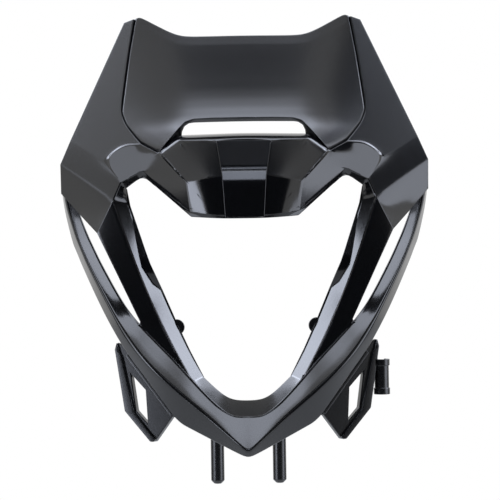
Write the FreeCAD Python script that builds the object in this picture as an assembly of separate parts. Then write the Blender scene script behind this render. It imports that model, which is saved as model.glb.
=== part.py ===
# Motorcycle front fairing: an empty headlight mask moulded in one piece.
# Millimetres. X points to the viewer's right, Y away from the viewer, Z up.
# The origin lies midway between the two fixing pegs, on their axes' plane.

import os

import FreeCAD
import Part

V = FreeCAD.Vector
os.makedirs("parts", exist_ok=True)

# Driving sizes
shoulder_half = 145.0
top_height = 331.7
top_half = 84.5
top_flank = 8.0
top_dip = 16.7
groove_half = 95.5
groove_level = 258.0
nose_floor = 174.0
wall = 2.6
wing_depth = -50.0
wing_slope = 0.70
wing_lean = 0.217
nose_half = 43.5
nose_top = 202.0
plate_step = 1.2
plate_overlap = 1.5
peg_half_spacing = 24.0
peg_radius = 5.2
peg_collar = 2.0
peg_chamfer = 2.5
peg_tip = -30.0
peg_seat = 12.0
ear_wall = 3.0
ear_depth = 9.0
ear_rim = 2.4
ear_step = 2.5
ear_side_slope = 0.22
ear_lean = 0.05
lug_radius = 6.2
lug_hole_radius = 2.1
lug_wall = 4.5
lug_length = 22.0
lug_hole_inset = 5.0
guide_radius = 6.4
guide_waist = 0.7
guide_bore_radius = 4.5
guide_half_length = 13.8
guide_end_height = 5.0
guide_gap = 4.5
plate_wall = 3.2
overrun = 150.0


def wing_point(x, z):
    """A point on the plane of the wing and the diagonal bar."""
    depth = wing_depth + wing_slope * (x - nose_half) + wing_lean * (z - nose_top)
    return V(x, depth, z)


def groove_point(share, bow):
    """A point of the groove between its widest place and the top, bowed outward a little."""
    half = groove_half + share * (top_half - groove_half)
    return wing_point(half + bow, groove_level + share * (top_height - groove_level))


# Character points of the right half, the wing and the shoulder first
groove = [
    wing_point(top_half, top_height),
    groove_point(0.61, 0.7),
    groove_point(0.2, 0.2),
    groove_point(0.0, 0.0),
    wing_point(91.5, 247.5),
    wing_point(79.0, 233.0),
    wing_point(65.0, 225.0),
]
nose_corner = wing_point(nose_half, nose_top)
top_corner = wing_point(top_half + top_flank, top_height - 2.2)
fold_out = wing_point(shoulder_half - 8.0, 238.5)
fold_in = wing_point(93.5, 206.0) + V(0, 3.0, 0)
brow_corner = wing_point(77.0, 210.0) + V(0, 4.0, 0)
bar_end = [wing_point(x, z) for x, z in ((84.0, 232.5), (93.5, 231.0), (101.0, 226.0), (108.0, 217.0))]
bar_middle = wing_point(90.0, 219.0) + V(0, 1.0, 0)
wing_edge = [top_corner + (fold_out - top_corner) * share for share in (0.0, 0.28, 0.6, 0.76)]
shoulder_top = V(shoulder_half, 27.0, 220.0)
shoulder_low = V(shoulder_half, 30.0, 197.0)
vent_top = V(shoulder_half - 16.0, 14.0, 179.5)
vent_bend = V(114.5, -5.0, 165.0)

# Leg lines: the ridge, the inner rim at the lamp and the outer edge at the vent
ridge = [
    V(101.5, -11.0, 190.0),
    V(82.0, -12.5, 140.0),
    V(66.0, -14.0, 98.0),
    V(55.0, -18.0, 74.0),
    V(42.0, -23.0, 50.5),
]
rim = [
    V(89.0, 0.0, 187.0),
    V(75.0, -0.5, 143.0),
    V(55.0, -2.5, 98.0),
    V(44.0, -6.0, 74.0),
    V(33.5, -10.0, 53.5),
]
leg_outer = [
    vent_bend,
    V(103.0, -7.0, 141.0),
    V(81.5, -9.5, 95.5),
    V(64.0, -15.5, 72.0),
    V(44.0, -22.3, 49.0),
]
leg_foot = V(88.5, -7.5, 92.5)
rim_corner = V(91.0, -1.0, 198.0)
brow_back = V(77.5, -9.0, 213.0)

# Lamp seat round the bottom of the opening
seat_front = [V(34.0, -27.0, 37.0), V(24.5, -31.0, 28.0), V(12.5, -33.0, 21.5), V(0.0, -33.5, 21.0)]
seat_back = [V(23.5, -13.0, 44.0), V(17.0, -15.0, 39.0), V(10.5, -16.5, 36.0), V(0.0, -17.0, 35.5)]

# Nose: rear edge at the slot, front edge, bottom edge and the flanges behind them
nose_rear = [V(0.0, -51.0, 234.0), V(21.0, -50.5, 233.5), V(53.5, -40.0, 233.0)]
nose_front = [V(0.0, -59.0, 206.5), V(16.5, -58.0, 206.0)]
nose_bottom = [V(0.0, -57.5, nose_floor), V(14.5, -57.0, nose_floor), V(40.0, -47.5, nose_floor + 1.5)]
nose_bottom_back = [p + V(0.0, 12.0, 3.0) for p in nose_bottom]
slot_steps = [V(0, 0, 0), V(0, 2.5, 2.6), V(0, 7.0, 4.6), V(0, 16.0, 5.2)]
slot_rows = [[p + step for p in nose_rear] for step in slot_steps]
slot_end = V(57.0, -29.0, 238.0)

# Panels of the right half, each named by its corners in turn as seen from the front
panels = [
    [groove[3], groove[4], fold_out, wing_edge[3]],
    [groove[4], groove[5], bar_end[0], bar_end[1]],
    [groove[4], bar_end[1], bar_end[2], fold_out],
    [bar_end[2], bar_end[3], fold_out],
    [groove[5], groove[6], bar_middle],
    [groove[5], bar_middle, bar_end[0]],
    [bar_end[0], bar_middle, bar_end[1]],
    [bar_end[1], bar_middle, bar_end[2]],
    [bar_middle, fold_in, bar_end[3]],
    [bar_middle, bar_end[3], bar_end[2]],
    [groove[6], brow_corner, bar_middle],
    [bar_middle, brow_corner, fold_in],
    [groove[6], nose_corner, brow_corner],
    [leg_outer[3], leg_foot, leg_outer[2]],
    [nose_corner, nose_bottom[2], brow_corner],
    [fold_in, ridge[0], bar_end[3]],
    [bar_end[3], ridge[0], shoulder_top, fold_out],
    [ridge[0], vent_bend, vent_top],
    [ridge[0], vent_top, shoulder_low, shoulder_top],
    [rim[0], ridge[0], fold_in, rim_corner],
    [rim_corner, fold_in, brow_corner, brow_back],
    [brow_back, brow_corner, nose_bottom[2], nose_bottom_back[2]],
    [seat_front[0], ridge[4], rim[4], seat_back[0]],
    [nose_front[0], nose_front[1], nose_rear[1], nose_rear[0]],
    [nose_front[1], nose_corner, nose_rear[2], nose_rear[1]],
    [nose_corner, groove[6], nose_rear[2]],
    [nose_rear[2], groove[6], slot_end],
    [nose_bottom[0], nose_bottom[1], nose_front[1], nose_front[0]],
    [nose_bottom[1], nose_bottom[2], nose_corner, nose_front[1]],
]
for i in range(3):
    panels.append([groove[i], groove[i + 1], wing_edge[i + 1], wing_edge[i]])
for i in range(4):
    panels.append([rim[i + 1], ridge[i + 1], ridge[i], rim[i]])
    panels.append([ridge[i + 1], leg_outer[i + 1], leg_outer[i], ridge[i]])
for i in range(3):
    panels.append([seat_front[i + 1], seat_front[i], seat_back[i], seat_back[i + 1]])
for i in range(2):
    panels.append([nose_bottom_back[i], nose_bottom_back[i + 1], nose_bottom[i + 1], nose_bottom[i]])
for low, high in zip(slot_rows, slot_rows[1:]):
    panels.append([low[2], slot_end, high[2]])
    for i in range(2):
        panels.append([low[i], low[i + 1], high[i + 1], high[i]])


def mirrored(point):
    """The same point on the other half."""
    return V(-point.x, point.y, point.z)


def key(point):
    """A point's rounded place, to find shared corners."""
    return (round(point.x, 4), round(point.y, 4), round(point.z, 4))


def panel_normal(corners):
    """Mean outward normal of a panel."""
    total = V(0, 0, 0)
    for a, b in zip(corners, corners[1:] + corners[:1]):
        total = total + a.cross(b)
    return total.normalize()


def inner_shift(normals, thickness):
    """The shift that moves a corner one wall inward from all its panels."""
    rows = [V(0.02, 0, 0), V(0, 0.02, 0), V(0, 0, 0.02)]
    goal = V(0, 0, 0)
    for n in normals:
        rows[0] = rows[0] + n * n.x
        rows[1] = rows[1] + n * n.y
        rows[2] = rows[2] + n * n.z
        goal = goal - n * thickness
    size = rows[0].dot(rows[1].cross(rows[2]))
    return (
        rows[1].cross(rows[2]) * goal.x + rows[2].cross(rows[0]) * goal.y + rows[0].cross(rows[1]) * goal.z
    ) * (1.0 / size)


def patch(corners):
    """A flat face, or the straight-edged twisted face of four corners."""
    spare = (corners[1] - corners[0]).cross(corners[2] - corners[0])
    if len(corners) == 4 and abs(spare.dot(corners[3] - corners[0])) > 0.001:
        first = Part.makeLine(corners[0], corners[1])
        second = Part.makeLine(corners[3], corners[2])
        return Part.makeRuledSurface(first, second, 1)
    return Part.Face(Part.makePolygon(corners + corners[:1]))


def folded_sheet(sheet, thickness):
    """A closed solid of one wall under a sheet of panels joined at their edges."""
    normals = {}
    edge_uses = {}
    for corners in sheet:
        n = panel_normal(corners)
        for a, b in zip(corners, corners[1:] + corners[:1]):
            normals.setdefault(key(a), []).append(n)
            edge_uses[(key(a), key(b))] = (a, b)
    shift = {k: inner_shift(n, thickness) for k, n in normals.items()}
    for k in shift:
        if abs(k[0]) < 0.001:
            shift[k].x = 0.0
    faces = []
    for corners in sheet:
        inner = [p + shift[key(p)] for p in corners]
        faces.append(patch(corners))
        faces.append(patch(inner))
    for (ka, kb), (a, b) in edge_uses.items():
        if (kb, ka) not in edge_uses:
            faces.append(patch([a, b, b + shift[kb], a + shift[ka]]))
    shell = Part.makeShell(faces)
    shell.sewShape()
    solid = Part.Solid(shell)
    if solid.Volume < 0:
        solid.reverse()
    return solid


def both_halves(shape):
    """The shape and its mirror image across the middle plane."""
    return [shape, shape.mirror(V(0, 0, 0), V(1, 0, 0))]


sheet = panels + [[mirrored(p) for p in reversed(corners)] for corners in panels]
frame_sheet = folded_sheet(sheet, wall)

# Raised centre block of the nose, proud of the panels beside it
block = [V(20.5, -51.8, 232.5), V(16.5, -59.8, 206.5), V(14.5, -58.6, nose_floor + 1.0)]
block_left = [mirrored(p) for p in block]
block_sheet = [
    [block_left[1], block[1], block[0], block_left[0]],
    [block_left[2], block[2], block[1], block_left[1]],
]
nose_block = folded_sheet(block_sheet, wall)

# Number plate: arcs across the front at falling heights, joined to one smooth hollow sweep
plate_rows = [wing_point(top_half - 2.0, top_height + 11.0)] + groove
plate_middle = [-7.3, -10.3, -18.5, -28.5, -37.8, -48.0, -61.0, -66.5]
arcs = []
for edge_point, middle in zip(plate_rows, plate_middle):
    end = edge_point + V(plate_overlap, plate_step, 0)
    arcs.append(Part.Wire(Part.Arc(mirrored(end), V(0, middle, end.z), end).toShape()))
plate_skin = Part.makeLoft(arcs, False, False).Faces[0]
plate = plate_skin.extrude(V(0, plate_wall, 0))

# Top edge of the plate and the lip over the slot, as front outlines
top_line = [
    V(0, 0, top_height - top_dip),
    V(24.0, 0, top_height - top_dip + 0.2),
    V(46.0, 0, top_height - top_dip + 2.0),
    V(64.0, 0, top_height - top_dip + 9.0),
    V(top_half - 5.0, 0, top_height + 1.3),
]
lip_line = [V(0, 0, 250.5), V(22.0, 0, 250.3), V(40.0, 0, 249.3), V(48.0, 0, 244.0), V(66.0, 0, 225.0)]


def front_cutter(line, ends):
    """A block across the front, bounded by a mirrored smooth line and by straight lines beyond it."""
    curve = Part.BSplineCurve()
    curve.interpolate([mirrored(p) for p in reversed(line[1:])] + line)
    right = [line[-1]] + ends
    border = Part.makePolygon(right + [mirrored(p) for p in reversed(right)])
    outline = Part.Wire([curve.toShape()] + border.Edges)
    return Part.Face(outline).extrude(V(0, 2 * overrun, 0)).translated(V(0, -overrun, 0))


top_side = V(top_half + 2.0, 0, top_height - 0.7)
plate = plate.cut(front_cutter(top_line, [top_side, top_side + V(0, 0, overrun)]))
plate = plate.cut(front_cutter(lip_line, [lip_line[-1] - V(0, 0, overrun)]))


# Outer frame: root, inner edge, crest, lower edge and rear edge, from behind the shoulder round to the chin
frame_stations = [
    [shoulder_top + V(*step) for step in (
        (-6.0, 13.0, -8.0), (-6.0, 8.0, -8.0), (-0.5, 2.0, -3.0), (1.5, 12.0, -5.0), (0.5, 16.0, -6.0))],
    [shoulder_low + V(*step) for step in (
        (-11.0, 5.0, -10.0), (-11.0, 0.0, -10.0), (-1.0, -0.5, -0.5), (1.0, 10.0, -3.0), (-0.5, 13.0, -3.0))],
    [V(125.5, 28.0, 164.0), V(125.5, 23.0, 164.0),
     V(130.5, 17.0, 164.0), V(138.5, 34.0, 159.0), V(137.0, 40.0, 159.5)],
    [V(114.5, 20.0, 141.5), V(114.5, 14.5, 141.5),
     V(121.0, 7.5, 141.0), V(131.0, 27.0, 140.0), V(129.5, 35.0, 140.5)],
    [V(98.5, 3.0, 113.0), V(98.5, -3.0, 113.0),
     V(107.0, -5.0, 113.0), V(118.0, 12.0, 112.0), V(116.5, 23.0, 112.5)],
    [V(86.5, -5.0, 97.0), V(86.5, -9.5, 97.0),
     V(96.5, -14.0, 92.0), V(105.5, 2.0, 91.0), V(104.0, 17.0, 91.5)],
    [V(70.5, -9.5, 80.5), V(70.5, -15.5, 80.5),
     V(84.0, -22.0, 73.5), V(92.5, -8.0, 72.0), V(91.0, 13.0, 73.0)],
    [V(56.0, -15.0, 66.0), V(56.0, -21.5, 66.0),
     V(69.5, -28.5, 58.0), V(77.0, -15.0, 52.0), V(75.5, 11.0, 53.5)],
    [V(42.0, -20.0, 50.5), V(42.0, -27.0, 50.5),
     V(50.0, -34.0, 41.0), V(62.0, -19.0, 31.5), V(60.5, 9.5, 33.0)],
    [V(32.0, -26.0, 40.0), V(32.0, -32.0, 40.0),
     V(40.5, -37.5, 33.5), V(53.0, -21.0, 19.5), V(51.5, 8.0, 21.0)],
    [V(22.5, -30.0, 31.0), V(22.5, -36.5, 31.0),
     V(30.5, -41.0, 25.5), V(42.0, -26.0, 14.0), V(40.5, -4.0, 15.5)],
    [V(11.5, -32.0, 24.5), V(11.5, -38.5, 24.5),
     V(15.0, -47.5, 12.0), V(20.0, -38.0, 3.5), V(19.0, -22.0, 5.5)],
    [V(3.5, -31.5, 24.0), V(3.5, -38.0, 24.0),
     V(3.5, -53.0, 2.0), V(5.0, -47.0, -3.5), V(4.5, -33.0, -1.5)],
    [V(0.0, -31.5, 24.0), V(0.0, -38.0, 24.0),
     V(0.0, -53.5, 0.0), V(0.0, -48.0, -5.0), V(0.0, -34.0, -3.0)],
]
frame_panels = []
for upper, lower in zip(frame_stations, frame_stations[1:]):
    for i in range(4):
        frame_panels.append([lower[i], lower[i + 1], upper[i + 1], upper[i]])
frame_panels = frame_panels + [[mirrored(p) for p in reversed(corners)] for corners in frame_panels]
outer_frame = folded_sheet(frame_panels, wall)

# Lower ear: a tray open at the back, with a window and a raised bar round its outside, behind the frame
ear_outline = [(102.5, 79.5), (104.0, 74.0), (96.5, 26.0), (76.5, 2.5), (73.5, 2.5), (59.5, 22.0),
               (49.0, 20.0), (67.0, 47.0), (84.0, 72.0)]
ear_window = [(92.0, 55.0), (80.5, 42.5), (79.0, 16.5), (88.0, 26.5)]
ear_recess = [(102.5, 79.5), (99.8, 71.0), (98.5, 68.5), (89.0, 24.5), (75.6, 8.0), (72.2, 4.4),
              (60.0, 2.0), (40.0, 10.0), (60.0, 55.0), (85.0, 85.0)]


def ear_wire(outline):
    """A closed line lying in the ear's front plane."""
    points = [V(x, 4.0 + ear_side_slope * (x - 74.5) + ear_lean * (z - 2.0), z) for x, z in outline]
    return Part.makePolygon(points + points[:1])


ear_back = V(-ear_side_slope, 1.0, -ear_lean).normalize()
ear = Part.Face(ear_wire(ear_outline)).extrude(ear_back * ear_depth)
pocket = Part.Face(ear_wire(ear_outline).makeOffset2D(-ear_rim, 2)).extrude(ear_back * ear_depth)
window = Part.Face(ear_wire(ear_window))
window_rim = Part.Face(ear_wire(ear_window).makeOffset2D(ear_rim, 2)).extrude(ear_back * ear_depth)
ear = ear.cut(pocket.translated(ear_back * (ear_step + ear_wall)).cut(window_rim))
recess = Part.Face(ear_wire(ear_recess)).extrude(ear_back * overrun)
ear = ear.cut(recess.translated(ear_back * (ear_step - overrun)))
ear = ear.cut(window.extrude(ear_back * 2 * overrun).translated(ear_back * -overrun))

# Floor behind the chin with the two fixing pegs
floor_half = [
    V(0, -43.5, 0), V(15.5, -43.5, 0), V(23.5, -38.2, 0), V(32, -31, 0),
    V(35, -27.5, 0), V(35, 6, 0), V(31, 9, 0), V(0, 9, 0),
]
floor_outline = floor_half + [mirrored(p) for p in reversed(floor_half[1:-1])]
floor = Part.Face(Part.makePolygon(floor_outline + floor_outline[:1]))
floor = floor.extrude(V(0, 0, wall)).translated(V(0, 0, peg_seat))
peg_profile = [
    V(0, 0, peg_seat + wall),
    V(peg_radius + peg_collar, 0, peg_seat + wall),
    V(peg_radius + peg_collar, 0, peg_seat - peg_collar),
    V(peg_radius, 0, peg_seat - 2 * peg_collar),
    V(peg_radius, 0, peg_tip + peg_chamfer),
    V(peg_radius - peg_chamfer, 0, peg_tip),
    V(0, 0, peg_tip),
]
peg = Part.Face(Part.makePolygon(peg_profile + peg_profile[:1])).revolve(V(0, 0, 0), V(0, 0, 1), 360)
peg = peg.translated(V(peg_half_spacing, 0, 0))

# Lamp lug behind each leg, with rounded ends
lug_inner = V(54.2, -4.5, 91.5)
lug_across = V(0, 1, 0)
lug = Part.makeCylinder(lug_radius, lug_wall, lug_inner, lug_across)
lug = lug.fuse(Part.makeCylinder(lug_radius, lug_wall, lug_inner + V(lug_length, 0, 0), lug_across))
lug = lug.fuse(Part.makeBox(lug_length, lug_wall, 2 * lug_radius, lug_inner - V(0, 0, lug_radius)))
lug_hole = lug_inner + V(lug_hole_inset, -lug_wall, 0)
lug = lug.cut(Part.makeCylinder(lug_hole_radius, 4 * lug_wall, lug_hole, lug_across))

# Hose guide outside the right ear: an upright split sleeve with thicker ends
guide_middle = V(105.5, 20.0, 49.6)
guide_low = guide_middle - V(0, 0, guide_half_length)
guide = Part.makeCylinder(guide_radius - guide_waist, 2 * guide_half_length, guide_low)
guide_high = guide_low + V(0, 0, 2 * guide_half_length - guide_end_height)
guide = guide.fuse(Part.makeCylinder(guide_radius, guide_end_height, guide_low))
guide = guide.fuse(Part.makeCylinder(guide_radius, guide_end_height, guide_high))
bore = Part.makeCylinder(guide_bore_radius, 4 * guide_half_length, guide_low - V(0, 0, guide_half_length))
gap_corner = guide_low - V(guide_gap / 2, 0, guide_half_length)
gap = Part.makeBox(guide_gap, 3 * guide_radius, 4 * guide_half_length, gap_corner)

solids = [plate, nose_block, floor, outer_frame]
for half in (ear, peg, lug):
    solids = solids + both_halves(half)
solids.append(guide)
fairing = frame_sheet.fuse(solids)
fairing = fairing.cut([bore, gap]).removeSplitter()
print("solids", len(fairing.Solids), "valid", fairing.isValid(), "volume", round(fairing.Volume))
fairing.exportStep("parts/fairing_shell.step")
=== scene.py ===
# %% [markdown]
# # A motorcycle front fairing
# The object is an empty headlight mask, moulded in one piece from black plastic: a flared number plate,
# a nose, two folded legs round a V-shaped lamp opening, an outer frame, two ears and two fixing pegs.
# The solid of the part is loaded first and is never changed. Each area of the moulding is then modelled
# again as a finer mesh that takes the solid's place, in the same frame and at the same size.

# %% Load the frame
import math
from functools import partial

import bmesh
import bpy
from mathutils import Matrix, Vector


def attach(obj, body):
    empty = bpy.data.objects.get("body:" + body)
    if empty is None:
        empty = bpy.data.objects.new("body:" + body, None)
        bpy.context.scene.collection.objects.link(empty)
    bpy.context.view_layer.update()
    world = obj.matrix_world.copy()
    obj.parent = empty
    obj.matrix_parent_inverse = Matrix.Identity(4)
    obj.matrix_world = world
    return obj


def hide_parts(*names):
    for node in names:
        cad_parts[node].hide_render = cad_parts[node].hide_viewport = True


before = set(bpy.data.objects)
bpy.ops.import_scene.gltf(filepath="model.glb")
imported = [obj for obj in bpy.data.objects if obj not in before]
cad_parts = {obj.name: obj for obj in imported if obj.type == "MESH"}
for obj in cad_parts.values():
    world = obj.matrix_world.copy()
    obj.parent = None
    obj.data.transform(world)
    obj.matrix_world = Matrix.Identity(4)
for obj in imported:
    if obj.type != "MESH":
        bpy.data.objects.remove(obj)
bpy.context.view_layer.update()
MM = 0.001

# %% [markdown]
# ## Adding nodes
# Materials and Geometry Nodes are both trees of nodes. They could be clicked together by hand, but a
# script can be read and changed. One small function adds any node, sets it up and links it: a value goes
# into the socket's own field, another node's socket becomes a link, and a node stands for its first output.


# %% One function for every node
def put(tree, kind, links=None, **settings):
    node = tree.nodes.new(kind)
    for name, value in settings.items():
        setattr(node, name, value)
    for socket, value in (links or {}).items():
        if isinstance(value, bpy.types.Node):
            value = value.outputs[0]
        if isinstance(value, bpy.types.NodeSocket):
            tree.links.new(value, node.inputs[socket])
        else:
            node.inputs[socket].default_value = value
    return node


# %% [markdown]
# ## The plastic
# The real part is ABS coloured with carbon black, straight from a steel mould. Where the mould is
# polished the skin is glossy, and almost all that the eye gets is the mirror image of the studio. Where
# the mould is lightly blasted, as on the number plate and the wings, the same skin is satin. A number
# stored on the faces, called polish, says how smooth the mould was there, so one material serves both.
# The faint waviness of a moulded skin and a fine grain come from two noises in the bump.

# %% Moulded black ABS
SKIN_WAVE_MM = 9.0
# A real grain is about 0.1 mm wide, too fine to show here, so it is drawn coarser
GRAIN_MM = 0.9


def hex_colour(text):
    """An sRGB hex colour as the linear colour that shaders use."""
    parts = [int(text[i:i + 2], 16) / 255 for i in (1, 3, 5)]
    return [c / 12.92 if c <= 0.04045 else ((c + 0.055) / 1.055) ** 2.4 for c in parts] + [1.0]


def moulded_abs(name, satin, gloss, grain_strength):
    """Black ABS whose roughness runs from satin to gloss with the polish of the mould."""
    material = bpy.data.materials.new(name)
    material.use_nodes = True
    tree = material.node_tree
    shader = tree.nodes["Principled BSDF"]
    shader.inputs["IOR"].default_value = 1.53
    place = put(tree, "ShaderNodeTexCoord").outputs["Object"]
    wave = put(tree, "ShaderNodeTexNoise", {
        "Vector": place, "Scale": 1.0 / (SKIN_WAVE_MM * MM), "Detail": 1.0}).outputs["Fac"]
    grain = put(tree, "ShaderNodeTexNoise", {
        "Vector": place, "Scale": 1.0 / (GRAIN_MM * MM), "Detail": 2.0}).outputs["Fac"]
    tint = put(tree, "ShaderNodeValToRGB", {"Fac": wave})
    tint.color_ramp.elements[0].color = hex_colour("#050506")
    tint.color_ramp.elements[1].color = hex_colour("#07080a")
    tree.links.new(tint.outputs["Color"], shader.inputs["Base Color"])
    polish = put(tree, "ShaderNodeAttribute", attribute_name="polish").outputs["Fac"]
    smooth = put(tree, "ShaderNodeMapRange", {"Value": polish, "To Min": satin, "To Max": gloss})
    speck = put(tree, "ShaderNodeMapRange", {
        "Value": grain, "From Min": 0.3, "From Max": 0.7, "To Min": -0.02, "To Max": 0.02})
    rough = put(tree, "ShaderNodeMath", {0: smooth, 1: speck})
    tree.links.new(rough.outputs["Value"], shader.inputs["Roughness"])
    swell = put(tree, "ShaderNodeBump", {"Height": wave, "Strength": 0.25, "Distance": 0.04 * MM})
    skin = put(tree, "ShaderNodeBump", {
        "Height": grain, "Strength": grain_strength, "Distance": 0.05 * MM, "Normal": swell})
    tree.links.new(skin.outputs["Normal"], shader.inputs["Normal"])
    return material


gloss_abs = moulded_abs("moulded_black_abs_gloss", satin=0.34, gloss=0.10, grain_strength=0.03)
grained_abs = moulded_abs("moulded_black_abs_grained", satin=0.25, gloss=0.21, grain_strength=0.22)
print("materials", [m.name for m in bpy.data.materials])

# %% [markdown]
# ## Pieces of one moulding
# On the real part everything is one moulding. A single mesh would do, but a few pieces, such as a shell,
# a frame and a plate, are easier to draw and to read. Each rides on the part's only body and takes the
# place of the same solid. An open sheet has to face the front before it gets its wall, because the wall
# grows backwards from the face.


# %% Helpers for pieces
def new_piece(name, mesh):
    piece = bpy.data.objects.new(name, mesh)
    bpy.context.scene.collection.objects.link(piece)
    return piece


def set_polish(mesh, values):
    """Stores how smooth the mould was, as one number for each face."""
    shine = mesh.attributes.new("polish", "FLOAT", "FACE")
    shine.data.foreach_set("value", values)


def face_front(mesh):
    """Turns the faces of an open sheet to the front, which is the way of negative Y."""
    if sum(p.normal.y * p.area for p in mesh.polygons) > 0:
        mesh.flip_normals()


def finish_piece(piece, material=gloss_abs):
    """Gives a piece its material, its smooth shading and its ride on the part's body."""
    if not piece.data.materials:
        piece.data.materials.append(material)
    piece.data.shade_smooth()
    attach(piece, "root")
    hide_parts("fairing_shell")
    print(piece.name, len(piece.data.vertices), "points")


# %% [markdown]
# ## From panels to a mesh
# Bodywork like this is designed as flat or gently bent panels that meet in folds. It could be sculpted,
# but then no fold would stay straight. Each piece is therefore listed as panels, named for the area they
# belong to. A fold is wherever two areas meet: its edges get a crease, so that a subdivision rounds what
# lies inside an area and keeps the fold, and a weight, so that a bevel rounds the fold as a mould does.

# %% Panels to a mesh
FINE_FOLD = 0.3


def mirrored(corners):
    return [Vector((-p.x, p.y, p.z)) for p in reversed(corners)]


def point_key(p):
    """Points that share a key, which is a place to a thousandth of a millimetre, are one point."""
    return tuple(round(c, 3) for c in p)


def panel_mesh(name, panels, polish, soft_folds=None, corners=(), narrow=(), fine=()):
    """One mesh from named panels in millimetres, with creases where two areas meet.

    Soft folds have a crease of their own, corners stay sharp, the folds of narrow areas aren't rounded
    and the fold between the two fine areas is rounded less than the others.
    """
    points, faces, areas, index = [], [], [], {}
    for area, panel in panels:
        for p in panel:
            if point_key(p) not in index:
                index[point_key(p)] = len(points)
                points.append(p * MM)
        faces.append([index[point_key(p)] for p in panel])
        areas.append(area)
    mesh = bpy.data.meshes.new(name)
    mesh.from_pydata(points, [], faces)
    set_polish(mesh, [polish.get(area, polish["other"]) for area in areas])
    users = {}
    for face, area in zip(faces, areas):
        for a, b in zip(face, face[1:] + face[:1]):
            users.setdefault(frozenset((a, b)), []).append(area)
    crease = mesh.attributes.new("crease_edge", "FLOAT", "EDGE")
    rounding = mesh.attributes.new("bevel_weight_edge", "FLOAT", "EDGE")
    for edge in mesh.edges:
        pair = frozenset(users[frozenset(edge.vertices)])
        sharpness = (soft_folds or {}).get(pair, 1.0) if len(pair) == 2 else 0.0
        crease.data[edge.index].value = sharpness
        if sharpness == 1.0 and not pair & set(narrow):
            rounding.data[edge.index].value = FINE_FOLD if pair == set(fine) else 1.0
    pins = mesh.attributes.new("crease_vert", "FLOAT", "POINT")
    for p in corners:
        pins.data[index[point_key(p)]].value = 1.0
    return mesh


# %% [markdown]
# ## The wall and its rounded edges
# A moulding has one wall thickness nearly everywhere, and no fold or rim of it is truly sharp. Drawing
# the back and every small radius by hand would take far more points, so modifiers add them: subdivision
# inside the areas, a bevel on the folds, a wall that grows backwards and a finer bevel on its rims.
# Normals weighted by area then keep the flat panels flat to the eye.

# %% Rounded edges and walls
WALL = 2.6


def rounded(piece, label, radius, degrees=None, turned=False):
    """Rounds the folds that carry a weight, or every edge sharper than an angle."""
    folds = piece.modifiers.new(label, "BEVEL")
    folds.limit_method = "ANGLE" if degrees else "WEIGHT"
    folds.angle_limit = math.radians(degrees or 30)
    folds.width = radius * MM
    folds.segments = 3
    folds.use_clamp_overlap = turned
    folds.harden_normals = turned


def moulded_wall(piece, wall, levels, radius, rim=0.5, degrees=None):
    """Subdivides a piece's panels, rounds the folds, gives them a wall and rounds its rims."""
    if levels:
        smooth = piece.modifiers.new("smooth panels", "SUBSURF")
        smooth.levels = smooth.render_levels = levels
    rounded(piece, "rounded folds", radius, degrees)
    thick = piece.modifiers.new("wall", "SOLIDIFY")
    thick.thickness = wall * MM
    thick.offset = -1.0
    rounded(piece, "rounded rims", rim, 60)
    piece.modifiers.new("flat panels", "WEIGHTED_NORMAL")


# %% [markdown]
# ## Character lines of the wings
# A designer of bodywork draws the lines that the eye follows before any surface. They are given here for
# the right half, in millimetres, and mirrored later. First come the groove beside the number plate, the
# wing and the raised bar below it. These lie close to one slanted plane, so a rule gives their depth and
# each point needs only two numbers. The shoulder and the top of the vent stand free of the plane.

# %% Wing, bar and shoulder
WING_DEPTH, WING_SLOPE, WING_LEAN = -50.0, 0.70, 0.217
NOSE_HALF, NOSE_TOP = 43.5, 202.0


def on_wing(x, z, back=0.0):
    depth = WING_DEPTH + WING_SLOPE * (x - NOSE_HALF) + WING_LEAN * (z - NOSE_TOP)
    return Vector((x, depth + back, z))


groove = [on_wing(x, z) for x, z in (
    (84.5, 331.7), (89.5, 303), (93.5, 273), (95.5, 258), (91.5, 247.5), (79, 233), (65, 225))]
nose_corner = on_wing(NOSE_HALF, NOSE_TOP)
top_corner = on_wing(92.5, 329.5)
fold_out = on_wing(137, 238.5)
fold_in = on_wing(95, 204, 3)
brow_corner = on_wing(77.2, 212, 4)
bar_end = [on_wing(x, z) for x, z in ((83, 233.2), (91, 233.4), (99.5, 230), (109, 221.5))]
bar_steps = ((0, -1.6, -0.8), (0, -2.6, -0.8), (-0.6, -2.6, -0.7), (-0.8, -1.8, 0))
bar_up = [p + Vector(step) for p, step in zip(bar_end, bar_steps)]
bar_middle = on_wing(90, 219, 0.5)
wing_edge = [top_corner.lerp(fold_out, share) for share in (0.0, 0.28, 0.6, 0.76)]
shoulder_top = Vector((145, 22, 220))
shoulder_low = Vector((145, 25, 197))
vent_top = Vector((129, 14, 179.5))
vent_bend = Vector((114.5, -5, 165))
print("groove of", len(groove), "points, shoulders", 2 * shoulder_top.x, "mm apart")

# %% [markdown]
# ## Character lines of the legs
# Each leg is a folded strip beside the lamp opening: a ridge runs down its front, the rim faces the lamp
# and the outer edge borders the vent. Below, the two legs end at a curved seat for the lamp. The lines
# could come from a curve, but the folds are straight between a few corners, so the corners are listed.


# %% Legs and lamp seat
def line(*places):
    return [Vector(p) for p in places]


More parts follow.
